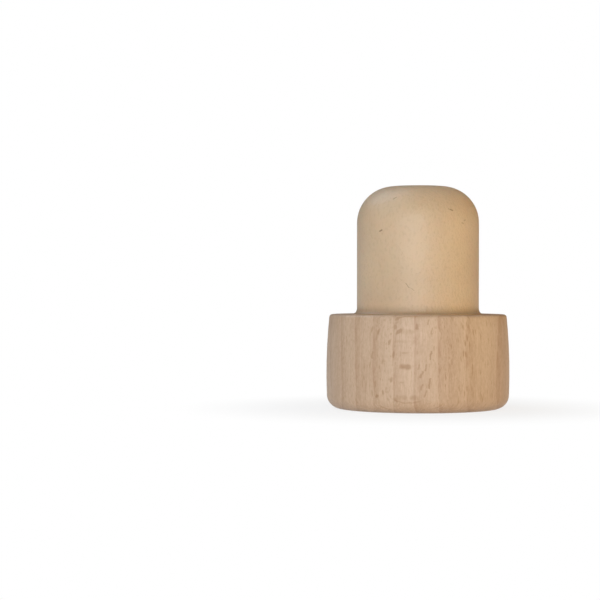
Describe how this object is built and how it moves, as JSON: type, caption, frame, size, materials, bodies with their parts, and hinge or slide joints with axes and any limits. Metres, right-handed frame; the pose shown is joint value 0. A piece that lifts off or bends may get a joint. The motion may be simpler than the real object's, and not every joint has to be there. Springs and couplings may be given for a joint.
{
  "type": "bottle stopper",
  "caption": "Bottle stopper with a turned wooden cap, wheat ears engraved in its flat end, and a smooth synthetic cork shank with a rounded nose.",
  "frame": {"origin": "centre of the cap's flat end, which the stopper stands on", "axes": "+Z along the stopper's axis from the cap to the nose of the shank; the wood's growth rings lie square to X and its grain runs along Z"},
  "size_m": [0.03, 0.03, 0.0364],
  "materials": {
    "beech": "fine turned and sanded, with a light matt varnish",
    "synthetic_cork": "smooth moulded skin, matt"
  },
  "bodies": {
    "root": {"cap": "beech", "shank": "synthetic_cork"}
  },
  "joints": []
}
